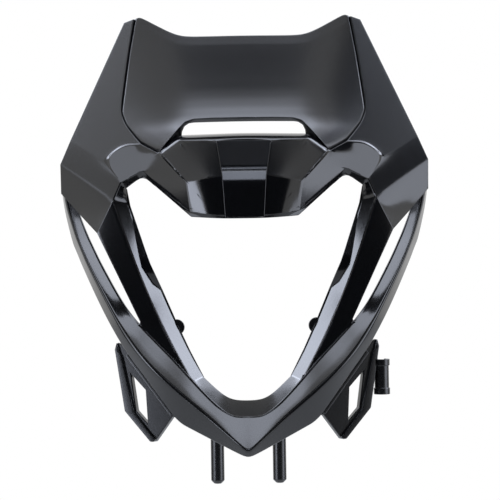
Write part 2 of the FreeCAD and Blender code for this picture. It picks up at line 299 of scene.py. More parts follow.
ridge = line((101.5, -11, 190), (85.2, -13, 140), (67.3, -15, 98), (55, -18.4, 74), (42, -23, 50.5))
rim = line((89, 0.6, 187), (74.3, 1.6, 143), (55, -0.2, 98), (44, -4.4, 74), (33.5, -10, 53.5))
RIM_INSET = 0.12
rim_line = [edge.lerp(crest, RIM_INSET) for edge, crest in zip(rim[:4], ridge)] + [rim[4]]
leg_outer = [vent_bend] + line((103, -7.6, 141), (81.5, -11.2, 95.5), (64, -15.7, 72), (44, -22.3, 49))
leg_foot = Vector((88.5, -9.2, 92.5))
rim_corner = Vector((91.3, -2, 199.5))
brow_back = Vector((77.5, -9, 217))
lip_apex = Vector((77.5, -17.7, 208.4))
seat_front = line((34, -27, 37), (24.5, -31, 28), (12.5, -33, 21.5), (0, -33.5, 21))
seat_back = line((23.5, -13, 44), (17, -15, 39), (10.5, -16.5, 36), (0, -17, 35.5))
print("ridge from", ridge[0].z, "down to", ridge[-1].z, "mm")

# %% [markdown]
# ## Character lines of the nose
# The nose is a blunt box over the lamp: a sloping top, a front with a slanted facet on each side, and a
# dark lip and floor below. Behind its top edge the wall curves up and back into the air slot, so that
# part is a set of rows, each moved back and up from the one before.

# %% Nose and air slot
nose_rear = line((0, -51, 234), (21, -50.5, 233.5), (48.5, -41.5, 233.5))
nose_wing = Vector((62.8, -37, 224))
nose_front = line((0, -59, 206.5), (16.5, -58, 206), (28, -57.2, 204.2))
nose_bottom = line((0, -57.6, 177), (14.5, -57.1, 177), (26, -55.2, 177.8), (40.5, -47.7, 179.3))
nose_lip = line((0, -57.2, 174), (14.5, -56.7, 174), (26, -54.6, 174.6), (40.3, -45.6, 175.8))
NOSE_FLOOR_STEP = Vector((0, 10.6, 3))
nose_floor = [p + NOSE_FLOOR_STEP for p in nose_lip]
slot_rows = [nose_rear]
for back, up in ((1.0, 0.8), (4.5, 2.6), (9.5, 4.2), (16.0, 5.2)):
    slot_rows.append([p + Vector((0, back, up)) for p in nose_rear])
slot_end = Vector((57, -29, 238))
print("nose", round(nose_front[0].z - nose_lip[0].z, 1), "mm tall, slot of", len(slot_rows), "rows")

# %% [markdown]
# ## The shell
# The shell is the main moulding: wings, the bars under the plate, shoulders, legs, the lamp seat and the
# nose. It could be carved out of one block or drawn as separate strips, but one sheet of panels keeps
# every fold shared by its two neighbours, so no seam can open between them. Each panel is named by its
# corners in turn as seen from the front.

# %% Panels of the shell
half_shell = [
    ("wing", [groove[3], groove[4], fold_out, wing_edge[3]]),
    ("wing", [groove[4], groove[5], bar_end[0], bar_end[1]]),
    ("wing", [groove[4], bar_end[1], bar_end[2], fold_out]),
    ("wing", [bar_end[2], bar_end[3], fold_out]),
    ("bar", [groove[5], groove[6], bar_middle, bar_up[0]]),
    ("bar", [bar_up[0], bar_middle, bar_up[1]]),
    ("bar", [bar_up[1], bar_middle, bar_up[2]]),
    ("bar", [bar_middle, fold_in, bar_up[3], bar_up[2]]),
    ("bar", [groove[6], brow_corner, fold_in, bar_middle]),
    ("bar", [groove[6], nose_corner, brow_corner]),
    ("bar", [nose_corner, nose_bottom[3], brow_corner]),
    ("bar step", [bar_end[0], groove[5], bar_up[0]]),
    ("bar step", [fold_in, bar_end[3], bar_up[3]]),
    ("strip", [fold_in, ridge[0], shoulder_top, fold_out, bar_end[3]]),
    ("cheek", [ridge[0], vent_bend, vent_top]),
    ("cheek", [ridge[0], vent_top, shoulder_low, shoulder_top]),
    ("rim top", [rim_line[0], ridge[0], fold_in, rim_corner]),
    ("apex edge", [rim_corner, fold_in, brow_corner, lip_apex]),
    ("edge", [lip_apex, brow_corner, nose_bottom[3], nose_lip[3]]),
    ("brow", [rim_corner, lip_apex, brow_back]),
    ("brow", [brow_back, lip_apex, nose_lip[3], nose_floor[3]]),
    ("leg foot", [leg_outer[3], leg_foot, leg_outer[2]]),
    ("seat", [seat_front[0], ridge[4], rim[4], seat_back[0]]),
    ("nose top", [nose_front[0], nose_front[1], nose_rear[1], nose_rear[0]]),
    ("nose top side", [nose_front[1], nose_front[2], nose_corner, nose_rear[2], nose_rear[1]]),
    ("nose top side", [nose_corner, nose_wing, nose_rear[2]]),
    ("nose flank", [nose_corner, groove[6], nose_wing]),
    ("channel", [nose_rear[2], nose_wing, groove[6], slot_end]),
    ("channel", [nose_rear[2], slot_end] + [row[2] for row in reversed(slot_rows[1:])]),
    ("nose front", [nose_bottom[0], nose_bottom[1], nose_front[1], nose_front[0]]),
    ("nose front side", [nose_bottom[1], nose_bottom[2], nose_front[2], nose_front[1]]),
    ("nose front side", [nose_bottom[2], nose_bottom[3], nose_corner, nose_front[2]]),
]
for i in range(3):
    half_shell.append(("wing", [groove[i], groove[i + 1], wing_edge[i + 1], wing_edge[i]]))
    half_shell.append(("seat", [seat_front[i + 1], seat_front[i], seat_back[i], seat_back[i + 1]]))
    half_shell.append(("bar step", [bar_end[i + 1], bar_end[i], bar_up[i], bar_up[i + 1]]))
    half_shell.append(("edge", [nose_lip[i], nose_lip[i + 1], nose_bottom[i + 1], nose_bottom[i]]))
    half_shell.append(("nose floor", [nose_floor[i], nose_floor[i + 1], nose_lip[i + 1], nose_lip[i]]))
for i in range(4):
    half_shell.append(("leg", [ridge[i + 1], leg_outer[i + 1], leg_outer[i], ridge[i]]))
    half_shell.append(("rim", [rim_line[i + 1], ridge[i + 1], ridge[i], rim_line[i]]))
for i in range(2):
    for low, high in zip(slot_rows, slot_rows[1:]):
        half_shell.append(("slot", [low[i], low[i + 1], high[i + 1], high[i]]))
print("half of the shell:", len(half_shell), "panels")

# %% [markdown]
# ## Finish and folds of the shell
# The wings are satin, and the bars, legs and cheeks are polished. Most folds are crisp, and a few fade out
# as they do on the real part, such as the one between the wing and the shoulder strip. One table gives
# the polish of each area and another the softness of such folds, so either can be changed by itself.

# %% The shell's mesh
shell_polish = {
    "wing": 0.45, "strip": 0.6, "bar": 0.95, "seat": 0.6, "nose top": 0.55, "nose top side": 0.55,
    "other": 1.0}
shell_soft = {
    frozenset(("wing", "bar step")): 0.9,
    frozenset(("bar", "bar step")): 0.9,
    frozenset(("strip", "bar step")): 0.9,
    frozenset(("wing", "strip")): 0.5,
    frozenset(("rim", "rim top")): 0.9,
    frozenset(("strip", "cheek")): 0.8,
    frozenset(("channel", "slot")): 0.9,
    frozenset(("channel", "nose top side")): 0.9,
    frozenset(("channel", "nose flank")): 0.9,
    frozenset(("nose top", "slot")): 0.4,
    frozenset(("nose top side", "slot")): 0.4,
}
half_pins = [
    top_corner, fold_out, shoulder_top, shoulder_low, vent_top, groove[0], groove[6], leg_outer[2],
    brow_corner, brow_back, rim_corner, nose_bottom[3], nose_lip[3], nose_floor[3], fold_in, lip_apex,
    nose_wing]
shell_panels = half_shell + [(area, mirrored(panel)) for area, panel in half_shell]
shell_mesh = panel_mesh(
    "shell", shell_panels, shell_polish, shell_soft, corners=half_pins + mirrored(half_pins),
    narrow=["edge", "apex edge"], fine=["cheek", "leg"])
shell = new_piece("shell", shell_mesh)
moulded_wall(shell, WALL, levels=3, radius=1.0)
finish_piece(shell)

# %% [markdown]
# ## Rails of the outer frame
# Outside each leg runs a second, V-shaped band, from behind the shoulder round to the chin. Its section
# changes all the way, so a profile swept along a path would not do. Instead, stations down the band list
# the corners of its section: the root of the inner wall, the inner edge, the crest, the outer edge and the
# rear. A narrow lip is added before the inner edge, and a smooth rail joins each corner from station to
# station.

# %% Rails of the outer frame
half_stations = [
    ((139, 40, 212), (139, 35, 212), (144.5, 29, 217), (146.5, 39, 215), (145.5, 43, 214)),
    ((134, 35, 187), (134, 30, 187), (144, 29.5, 196.5), (146, 40, 194), (144.5, 43, 194)),
    ((125.5, 28, 164), (125.5, 23, 164), (133.3, 16.6, 164), (137.6, 34, 159), (136, 40, 159.5)),
    ((121.1, 25, 155), (121.1, 20, 155), (129.5, 12.9, 155), (134.3, 31.3, 151.6), (132.7, 38, 152.1)),
    ((120.2, 24.5, 153), (120.2, 19.2, 153), (128.6, 12, 153), (133.5, 30.6, 149.9), (131.9, 37.6, 150.4)),
    ((114.5, 20, 141.5), (114.5, 14.2, 141.5), (123.4, 7.1, 141), (129.4, 27, 140), (127.8, 35, 140.5)),
    ((98.5, 8.5, 113), (98.5, 2.6, 113), (108.2, -5.2, 113), (115.8, 12, 112), (114.2, 23, 112.5)),
    ((86.5, -5, 97), (86.5, -9.5, 97), (96.8, -14, 92), (104.5, 2, 91), (103, 17, 91.5)),
    ((70.5, -9.5, 80.5), (70.5, -15.5, 80.5), (84, -22, 73.5), (92.5, -8, 72), (91, 13, 73)),
    ((56, -15, 66), (56, -21.5, 66), (69.5, -28.5, 58), (77, -15, 52), (75.5, 11, 53.5)),
    ((42, -20, 50.5), (42, -27, 50.5), (50, -34, 41), (62, -19, 31.5), (60.5, 9.5, 33)),
    ((32, -26, 40), (32, -32, 40), (40.5, -37.5, 33.5), (53, -21, 19.5), (51.5, 8, 21)),
    ((22.5, -30, 31), (22.5, -36.5, 31), (30.5, -41, 25.5), (42, -26, 14), (40.5, -4, 15.5)),
    ((11.5, -32, 24.5), (11.5, -38.5, 24.5), (15, -47.5, 12), (20, -38, 3.5), (19, -22, 5.5)),
    ((3.5, -31.5, 24), (3.5, -38, 24), (3.5, -53, 2), (5, -47, -3.5), (4.5, -33, -1.5)),
]
chin_station = ((0, -31.5, 24), (0, -38, 24), (0, -53.5, 0), (0, -48, -5), (0, -34, -3))
LIP_WIDTH, CHIN_LIP_WIDTH, CHIN_STATIONS, LIP_SET_BACK = 1.5, 1.0, 3, Vector((0, 0.3, 0))


def rail_object(name, lines, order=3):
    """A curve with one smooth line for each list of points in millimetres."""
    curve = bpy.data.curves.new(name, "CURVE")
    curve.dimensions = "3D"
    for places in lines:
        spline = curve.splines.new("NURBS")
        spline.points.add(len(places) - 1)
        for point, place in zip(spline.points, places):
            point.co = (*(place * MM), 1.0)
        spline.order_u = order
        spline.use_endpoint_u = True
        spline.resolution_u = 12
    return bpy.data.objects.new(name, curve)


stations = half_stations + [chin_station]
sections = []
for number, station in enumerate(stations):
    root, inner, crest, edge, rear = line(*station)
    width = CHIN_LIP_WIDTH if number >= len(stations) - CHIN_STATIONS else LIP_WIDTH
    inward = Vector((inner.x - crest.x, 0, inner.z - crest.z)).normalized() * width
    sections.append((root + inward, inner + inward + LIP_SET_BACK, inner, crest, edge, rear))
frame_rails = []
for corner in range(len(sections[0])):
    right = [section[corner] for section in sections[:-1]]
    frame_rails.append(right + [sections[-1][corner]] + mirrored(right))
rails = rail_object("outer frame rails", frame_rails)
print("outer frame:", len(frame_rails), "rails of", len(frame_rails[0]), "points")

# %% [markdown]
# ## Growing a piece with Geometry Nodes
# A piece whose shape follows a rule is grown by a tree of nodes with named inputs for its sizes. The tree
# could stay on the object as a live modifier, but the export wants plain meshes, so the tree is run once
# and its result is kept.


# %% Trees and what they grow
def new_tree(name, inputs):
    """An empty Geometry Nodes tree with named inputs, given as (name, socket kind, value)."""
    tree = bpy.data.node_groups.new(name, "GeometryNodeTree")
    for label, kind, value in inputs:
        socket = tree.interface.new_socket(label, in_out="INPUT", socket_type=kind)
        if value is not None:
            socket.default_value = value
    tree.interface.new_socket("Geometry", in_out="OUTPUT", socket_type="NodeSocketGeometry")
    return tree


def end_tree(tree, geometry, material):
    """The last nodes of every tree: real geometry, the material and the output."""
    real = put(tree, "GeometryNodeRealizeInstances", {"Geometry": geometry})
    dressed = put(tree, "GeometryNodeSetMaterial", {"Geometry": real, "Material": material})
    put(tree, "NodeGroupOutput", {"Geometry": dressed})
    print(tree.name, "tree:", len(tree.nodes), "nodes")


def grown_piece(name, tree, values):
    """Runs a tree with its named inputs set, and keeps the result as a plain mesh."""
    piece = new_piece(name, bpy.data.meshes.new(name))
    grower = piece.modifiers.new("grow", "NODES")
    grower.node_group = tree
    for item in tree.interface.items_tree:
        if item.in_out == "INPUT" and item.name in values:
            grower[item.identifier] = values[item.name]
    evaluated = piece.evaluated_get(bpy.context.evaluated_depsgraph_get())
    mesh = bpy.data.meshes.new_from_object(evaluated)
    piece.modifiers.clear()
    piece.data = mesh
    face_front(mesh)
    return piece


# %% [markdown]
# ## A skin between rails
# A skin of fabric or sheet metal can be stretched over rails, and this tree does the same: a flat grid
# whose columns sample the rails by length and whose rows pass from rail to rail. A loft made by hand
# would need every row drawn. The outer frame and the lip of the air slot both use the tree.

# %% The skin's tree
MATHS = "ShaderNodeMath"
skin_tree = new_tree("skin between rails", [
    ("Rails", "NodeSocketObject", None),
    ("Rail Count", "NodeSocketInt", 2),
    ("Columns", "NodeSocketInt", 200),
    ("Rows Between Rails", "NodeSocketInt", 4),
    ("Material", "NodeSocketMaterial", None),
])
skin_node = partial(put, skin_tree)
asked = skin_node("NodeGroupInput").outputs
gaps = skin_node(MATHS, {0: asked["Rail Count"], 1: 1.0}, operation="SUBTRACT")
rows = skin_node(MATHS, {0: gaps, 1: asked["Rows Between Rails"], 2: 1.0}, operation="MULTIPLY_ADD")
grid = skin_node("GeometryNodeMeshGrid", {
    "Size X": 1.0, "Size Y": 1.0, "Vertices X": asked["Columns"], "Vertices Y": rows})
place = skin_node("ShaderNodeSeparateXYZ", {0: skin_node("GeometryNodeInputPosition")}).outputs
along = skin_node(MATHS, {0: place["X"], 1: 0.5}, operation="ADD")
across = skin_node(MATHS, {0: place["Y"], 1: 0.5}, operation="ADD")
across = skin_node(MATHS, {0: across, 1: gaps}, operation="MULTIPLY")
# A hair is added before rounding down, so that a row on a rail counts as past it
past_rail = skin_node(MATHS, {0: across, 1: 0.0001}, operation="ADD")
lower = skin_node(MATHS, {0: past_rail}, operation="FLOOR")
last = skin_node(MATHS, {0: gaps, 1: 1.0}, operation="SUBTRACT")
lower = skin_node(MATHS, {0: lower, 1: last}, operation="MINIMUM")
upper = skin_node(MATHS, {0: lower, 1: 1.0}, operation="ADD")
share = skin_node(MATHS, {0: across, 1: lower}, operation="SUBTRACT")
lines = skin_node("GeometryNodeObjectInfo", {"Object": asked["Rails"]}).outputs["Geometry"]
ends = []
for index in (lower, upper):
    sampled = skin_node("GeometryNodeSampleCurve", {"Curves": lines, "Factor": along, "Curve Index": index})
    ends.append(sampled.outputs["Position"])
between = skin_node("ShaderNodeMix", {"Factor": share, 4: ends[0], 5: ends[1]}, data_type="VECTOR")
skin = skin_node("GeometryNodeSetPosition", {"Geometry": grid, "Position": between.outputs[1]})
end_tree(skin_tree, skin, asked["Material"])

# %% [markdown]
# ## The outer frame
# The frame's crest is well rounded and its inner lip is crisp. Separate bevels could do that, but the
# vertices of the grown grid run rail by rail, so the rail of an edge follows from its number and one
# weight for each rail tells a single bevel how much to round. The rounding fades towards the chin, where
# the band turns sharply.

# %% The outer frame's mesh
FRAME_ROWS, FRAME_COLUMNS, CREST_RADIUS = 2, 260, 2.5
CHIN_ROUNDING, FADE_FROM, FADE_TO = 0.68, 12.0, 32.0
rail_rounding = (0.0, 0.13, 0.13, 1.0, 0.4, 0.0)
outer_frame = grown_piece("outer_frame", skin_tree, {
    "Rails": rails, "Rail Count": len(frame_rails), "Columns": FRAME_COLUMNS,
    "Rows Between Rails": FRAME_ROWS, "Material": gloss_abs})
frame_mesh = outer_frame.data
set_polish(frame_mesh, [0.75] * len(frame_mesh.polygons))
weights = frame_mesh.attributes.new("bevel_weight_edge", "FLOAT", "EDGE")
row_count = (len(frame_rails) - 1) * FRAME_ROWS + 1
for edge in frame_mesh.edges:
    first, second = (number % row_count for number in edge.vertices)
    if first == second and first % FRAME_ROWS == 0:
        from_middle = abs(frame_mesh.vertices[edge.vertices[0]].co.x) / MM
        share = min(1.0, max(0.0, (from_middle - FADE_FROM) / (FADE_TO - FADE_FROM)))
        fade = CHIN_ROUNDING + (1.0 - CHIN_ROUNDING) * share
        weights.data[edge.index].value = rail_rounding[first // FRAME_ROWS] * fade
moulded_wall(outer_frame, WALL, levels=0, radius=CREST_RADIUS)
finish_piece(outer_frame)

# %% [markdown]
# ## Edges of the number plate
# The plate is one hollow sweep between the wings, lying a little deeper than they do. A sculpted sheet
# would be hard to keep even, and its shape follows a rule, so Geometry Nodes grow it. The rule starts from
# drawn lines: the top edge with its two peaks, the low edge round the air slot, the groove at the sides,
# and two lists that give the plate's half width and the depth of its middle at each height.

# %% Edges of the plate
TOP_Z, LOW_Z = 340.0, 220.0
PLATE_STEP = 0.9
top_half_edge = [
    (86, 330.9), (84.5, 331.5), (82, 332.4), (79.5, 332.8), (75, 330.5), (66, 325.2), (56, 319.6),
    (48, 316.4), (40, 315.3), (24, 315), (8, 315)]
low_half_edge = [
    (97.2, 258), (96, 252), (92.6, 246.2), (86, 238.5), (80, 231.8), (73, 227.2), (66, 223.4), (66, 223.4),
    (65.4, 225.2), (57, 234.5), (49.5, 243), (44.5, 248.2), (38, 250.2), (24, 250.5), (8, 250.5)]
half_by_height = [
    (340, 82.5), (331.7, 84.5), (303, 89.5), (273, 93.5), (258, 95.5), (247.5, 91.5), (233, 79), (225, 65),
    (220, 55)]
middle_by_height = [
    (340, -8.7), (329, -12), (303, -20), (290, -24), (280, -27.2), (270, -30.6), (262, -33.8), (256, -36.6),
    (250, -40), (240, -48.5), (220, -66)]


def flat_edge(half_edge):
    right = [Vector((x, 0, z)) for x, z in half_edge]
    return right + mirrored(right)


top_edge = rail_object("plate top edge", [flat_edge(top_half_edge)])
low_edge = rail_object("plate low edge", [flat_edge(low_half_edge)], order=2)
sunk = [p + Vector((0, PLATE_STEP, 0)) for p in groove]
groove_rails = rail_object("groove lines", [sunk, mirrored(sunk)], order=2)
print("plate edges of", 2 * len(top_half_edge), "and", 2 * len(low_half_edge), "points")

# %% [markdown]
# ## The plate's outline
# The first half of the tree stretches a flat grid from the top edge to the low edge. Even spacing would
# leave the gutter and the slot's corners coarse, so columns crowd towards the sides and rows towards the
# low edge: the distance from there is raised to a power a little over one.

# %% The plate's tree: its outline
PLATE_COLUMNS, PLATE_ROWS, CROWDING = 181, 101, 1.4
plate_sizes = {
    "Step": PLATE_STEP * MM, "Roll Width": 7.0 * MM, "Roll Depth": 0.25 * MM, "Gutter Width": 2.6 * MM,
    "Gutter Depth": 1.2 * MM}
plate_inputs = [(label, "NodeSocketObject", None) for label in ("Top Edge", "Low Edge", "Groove")]
plate_inputs += [("Columns", "NodeSocketInt", PLATE_COLUMNS), ("Rows", "NodeSocketInt", PLATE_ROWS)]
plate_inputs += [(label, "NodeSocketFloat", size) for label, size in plate_sizes.items()]
plate_inputs.append(("Material", "NodeSocketMaterial", None))
plate_tree = new_tree("number plate", plate_inputs)
plate_node = partial(put, plate_tree)
asked = plate_node("NodeGroupInput").outputs
grid = plate_node("GeometryNodeMeshGrid", {
    "Size X": 2.0, "Size Y": 1.0, "Vertices X": asked["Columns"], "Vertices Y": asked["Rows"]})
place = plate_node("ShaderNodeSeparateXYZ", {0: plate_node("GeometryNodeInputPosition")}).outputs
from_middle = plate_node(MATHS, {0: place["X"]}, operation="ABSOLUTE")
from_side = plate_node(MATHS, {0: 1.0, 1: from_middle}, operation="SUBTRACT")
from_side = plate_node(MATHS, {0: from_side, 1: 0.0}, operation="MAXIMUM")
crowded = plate_node(MATHS, {0: from_side, 1: CROWDING}, operation="POWER")
tight = plate_node(MATHS, {0: 1.0, 1: crowded}, operation="SUBTRACT")
hand = plate_node(MATHS, {0: place["X"]}, operation="SIGN")
tight = plate_node(MATHS, {0: tight, 1: hand}, operation="MULTIPLY")
along = plate_node(MATHS, {0: tight, 1: 0.5, 2: 0.5}, operation="MULTIPLY_ADD")
from_low = plate_node(MATHS, {0: 0.5, 1: place["Y"]}, operation="SUBTRACT")
crowded = plate_node(MATHS, {0: from_low, 1: CROWDING}, operation="POWER")
fall = plate_node(MATHS, {0: 1.0, 1: crowded}, operation="SUBTRACT")
edges = []
for label in ("Top Edge", "Low Edge"):
    lines = plate_node("GeometryNodeObjectInfo", {"Object": asked[label]}).outputs["Geometry"]
    sampled = plate_node("GeometryNodeSampleCurve", {"Curves": lines, "Factor": along})
    edges.append(sampled.outputs["Position"])
flat = plate_node("ShaderNodeMix", {"Factor": fall, 4: edges[0], 5: edges[1]}, data_type="VECTOR")
spot = plate_node("ShaderNodeSeparateXYZ", {0: flat.outputs[1]}).outputs
print("plate grid", PLATE_COLUMNS, "by", PLATE_ROWS)


# %% [markdown]
# ## The plate's hollow
# The second half of the tree gives the flat outline its depth. At every height the depth runs as a
# parabola from the plate's middle to the groove, and two float curves hold the lists by height. The top
# edge then rolls back a little, and a gutter sinks along the groove, by the distance to its lines.

# %% The plate's tree: its depth
def by_height(pairs, low, high):
    """A float curve of the height, from (height, value) pairs in millimetres, as metres."""
    level = plate_node("ShaderNodeMapRange", {
        "Value": spot["Z"], "From Min": LOW_Z * MM, "From Max": TOP_Z * MM})
    curve = plate_node("ShaderNodeFloatCurve", {"Value": level})
    points = curve.mapping.curves[0].points
    while len(points) < len(pairs):
        points.new(0.5, 0.5)
    for point, (height, value) in zip(points, sorted(pairs)):
        point.location = ((height - LOW_Z) / (TOP_Z - LOW_Z), (value - low) / (high - low))
    curve.mapping.update()
    return plate_node(MATHS, {0: curve, 1: (high - low) * MM, 2: low * MM}, operation="MULTIPLY_ADD")


half_width = by_height(half_by_height, 50.0, 100.0)
middle_depth = by_height(middle_by_height, -75.0, 0.0)
rise = plate_node(MATHS, {0: spot["Z"], 1: NOSE_TOP * MM}, operation="SUBTRACT")
rise = plate_node(MATHS, {0: rise, 1: WING_LEAN}, operation="MULTIPLY")
side = plate_node(MATHS, {0: half_width, 1: NOSE_HALF * MM}, operation="SUBTRACT")
side = plate_node(MATHS, {0: side, 1: WING_SLOPE, 2: WING_DEPTH * MM}, operation="MULTIPLY_ADD")
wing_depth = plate_node(MATHS, {0: side, 1: rise}, operation="ADD")
edge_depth = plate_node(MATHS, {0: wing_depth, 1: asked["Step"]}, operation="ADD")
bow = plate_node(MATHS, {0: spot["X"]}, operation="ABSOLUTE")
bow = plate_node(MATHS, {0: bow, 1: half_width}, operation="DIVIDE")
bow = plate_node(MATHS, {0: bow, 1: 2.0}, operation="POWER")
hollow = plate_node(MATHS, {0: edge_depth, 1: middle_depth}, operation="SUBTRACT")
depth = plate_node(MATHS, {0: hollow, 1: bow, 2: middle_depth}, operation="MULTIPLY_ADD")
top_z = plate_node("ShaderNodeSeparateXYZ", {0: edges[0]}).outputs["Z"]
below_top = plate_node(MATHS, {0: top_z, 1: spot["Z"]}, operation="SUBTRACT")
roll = plate_node("ShaderNodeMapRange", {
    "Value": below_top, "From Max": asked["Roll Width"], "To Min": asked["Roll Depth"], "To Max": 0.0})
rolled = plate_node(MATHS, {0: depth, 1: roll}, operation="ADD")
laid = plate_node("ShaderNodeCombineXYZ", {"X": spot["X"], "Y": rolled, "Z": spot["Z"]})
lines = plate_node("GeometryNodeObjectInfo", {"Object": asked["Groove"]}).outputs["Geometry"]
wires = plate_node("GeometryNodeCurveToMesh", {0: lines})
near = plate_node("GeometryNodeProximity", {0: wires, "Sample Position": laid}, target_element="EDGES")
sink = plate_node("ShaderNodeMapRange", {
    "Value": near.outputs["Distance"], "From Min": 0.4 * MM, "From Max": asked["Gutter Width"],
    "To Min": asked["Gutter Depth"], "To Max": 0.0}, interpolation_type="SMOOTHSTEP")
sunken = plate_node(MATHS, {0: rolled, 1: sink}, operation="ADD")
final = plate_node("ShaderNodeCombineXYZ", {"X": spot["X"], "Y": sunken, "Z": spot["Z"]})
formed = plate_node("GeometryNodeSetPosition", {"Geometry": grid, "Position": final})
end_tree(plate_tree, formed, asked["Material"])

# %% [markdown]
# ## The number plate
# The plate is the largest face of the real part, and a fine grain keeps it duller than the gloss beside
# it. It could be drawn as panels like the shell, but its hollow has no folds, so it is grown instead: the
# tree is run with its sizes, and the sheet gets the same kind of wall as the shell.

# %% The plate's mesh
PLATE_WALL = 3.2
plate = grown_piece("number_plate", plate_tree, {
    "Top Edge": top_edge, "Low Edge": low_edge, "Groove": groove_rails, "Columns": PLATE_COLUMNS,
    "Rows": PLATE_ROWS, **plate_sizes, "Material": grained_abs})
moulded_wall(plate, PLATE_WALL, levels=0, radius=0.5, rim=0.4, degrees=60)
finish_piece(plate, grained_abs)

# %% [markdown]
# ## The lip over the air slot
# Round the slot the plate's edge turns back into a lip, which the eye sees as a dark band under a bright
# edge. The tree that stretched the outer frame serves again: one rail is the plate's own low edge, read
# from its mesh, and the other is drawn as the outline of the clear opening.

# %% The slot's lip
LIP_BACK, LIP_HALF, LIP_SET_IN, STRIP_WALL, STRIP_ROUND = 5.0, 65.6, 0.8, 1.6, 0.3
lip_half_edge = [
    (66, 222.8), (60, 225), (54, 229.2), (48.8, 233.5), (47, 237), (46.6, 241), (44.8, 245), (41.5, 247.2),
    (38, 247.7), (24, 247.7), (8, 247.7)]
low_row = [v.co / MM for v in plate.data.vertices if v.index % PLATE_ROWS == PLATE_ROWS - 1]
plate_edge = [p for p in low_row if abs(p.x) < LIP_HALF]
lip_line = []
for p in flat_edge(lip_half_edge):
    nearest = min(plate_edge, key=lambda q: (q.x - p.x) ** 2 + (q.z - p.z) ** 2)
    lip_line.append(Vector((p.x, nearest.y + LIP_BACK, p.z)))
lip_start = [p + Vector((0, LIP_SET_IN, 0)) for p in plate_edge]
slot_lip = grown_piece("slot_lip", skin_tree, {
    "Rails": rail_object("slot lip rails", [lip_start, lip_line], order=2), "Rail Count": 2,
    "Columns": 200, "Rows Between Rails": 4, "Material": gloss_abs})
set_polish(slot_lip.data, [0.8] * len(slot_lip.data.polygons))
moulded_wall(slot_lip, STRIP_WALL, levels=0, radius=STRIP_ROUND, rim=STRIP_ROUND, degrees=60)
finish_piece(slot_lip)

# %% [markdown]
# ## The edge of the lamp opening
# The rim of the lamp opening ends in a narrow edge that faces forwards and widens half way down, where it
# shows as a dark wedge. It could be cut into the shell's panels, but its fold wanders across them, so it
# is laid on the rim as a strip of its own. Shares of the way from the rim to the ridge give its width.

# %% Wedges along the rim
edge_shares = (
    (186, 0.13), (179, 0.14), (150, 0.56), (141, 0.66), (127, 0.44), (120, 0.12), (98, 0.11), (74, 0.11))
EDGE_LEAN = 0.4


def at_height(falling, z):
    """The point of a falling line at a height."""
    for high, low in zip(falling, falling[1:]):
        if z >= low.z:
            return low.lerp(high, (z - low.z) / (high.z - low.z))


fold_line, edge_line = [rim_corner + Vector((1.5, 0.6, 0))], [rim_corner + Vector((-0.2, 0.2, -0.2))]
for z, share in edge_shares:
    edge = at_height(rim, z)
    fold = edge.lerp(at_height(ridge, z), share)
    fold_line.append(fold + Vector((2.5, 0.4, 0)))
    edge_line.append(Vector((edge.x, fold.y + EDGE_LEAN, edge.z)))
fold_line.append(rim[4] + Vector((1.5, 0.5, 0)))
edge_line.append(rim[4] + Vector((-0.2, 0, -0.2)))
for label, first, second in (
        ("right", fold_line, edge_line), ("left", mirrored(edge_line), mirrored(fold_line))):
    quads = [("edge", [second[i], second[i + 1], first[i + 1], first[i]]) for i in range(len(first) - 1)]
    rim_strip = new_piece(f"rim_edge_{label}", panel_mesh(f"rim_edge_{label}", quads, {"other": 1.0}))
    face_front(rim_strip.data)
    moulded_wall(rim_strip, STRIP_WALL, levels=0, radius=STRIP_ROUND, rim=STRIP_ROUND, degrees=60)
    finish_piece(rim_strip)

# %% [markdown]
# ## The nose block
# A raised block runs down the middle of the nose, with a well rounded edge between its top and its
# front. A bevelled box would do for a straight one, but this one narrows on the way down. So it is drawn
# as one side profile, with the round edge as a curve, and spread to the block's width at each height.

# %% The nose block
BLOCK_ROUND, BLOCK_STEPS, BLOCK_WALL = 7.8, 8, 1.2
FLANK_STEP = Vector((0.5, 2.5, 0))
block_rear, block_edge, block_low = Vector((-51.7, 232.5)), Vector((-59.9, 206.5)), Vector((-58.6, 175.0))
block_widths = [(232.5, 20.5), (206.5, 16.5), (175.0, 14.5)]


def block_half(z):
    for (high, wide), (low, narrow) in zip(block_widths, block_widths[1:]):
        if z >= low - 0.01:
            return narrow + (wide - narrow) * (z - low) / (high - low)
    return block_widths[-1][1]


before = block_edge + (block_rear - block_edge).normalized() * BLOCK_ROUND
after = block_edge + (block_low - block_edge).normalized() * BLOCK_ROUND
steps = [i / BLOCK_STEPS for i in range(BLOCK_STEPS + 1)]
profile = [block_rear.lerp(before, t) for t in steps[:-1]]
profile += [before.lerp(block_edge, t).lerp(block_edge.lerp(after, t), t) for t in steps]
profile += [after.lerp(block_low, t) for t in steps[1:]]
right_edge = [Vector((block_half(z), y, z)) for y, z in profile]
block_panels = []
for upper, lower in zip(right_edge, right_edge[1:]):
    area = "nose top" if lower.z > before.y - 0.01 else "nose front"
    flank = [lower, lower + FLANK_STEP, upper + FLANK_STEP, upper]
    block_panels += [
        (area, mirrored([lower]) + [lower, upper] + mirrored([upper])), ("flank", flank),
        ("flank", mirrored(flank))]
block = new_piece("nose_block", panel_mesh("nose_block", block_panels, {"nose top": 0.55, "other": 1.0}))
moulded_wall(block, BLOCK_WALL, levels=0, radius=0.4, rim=0.2, degrees=40)
finish_piece(block)

# %% [markdown]
# ## Outlines of the ears
# Below the shoulders an ear hangs behind the frame on each side, with a window for a rubber strap. It is
# a shallow tray with walls turned back. The front is a slanted plane, so the outlines need only two
# numbers a point. Walls and rims follow the outlines, so two functions make them: one moves an outline
# sideways and one joins two outlines with faces.

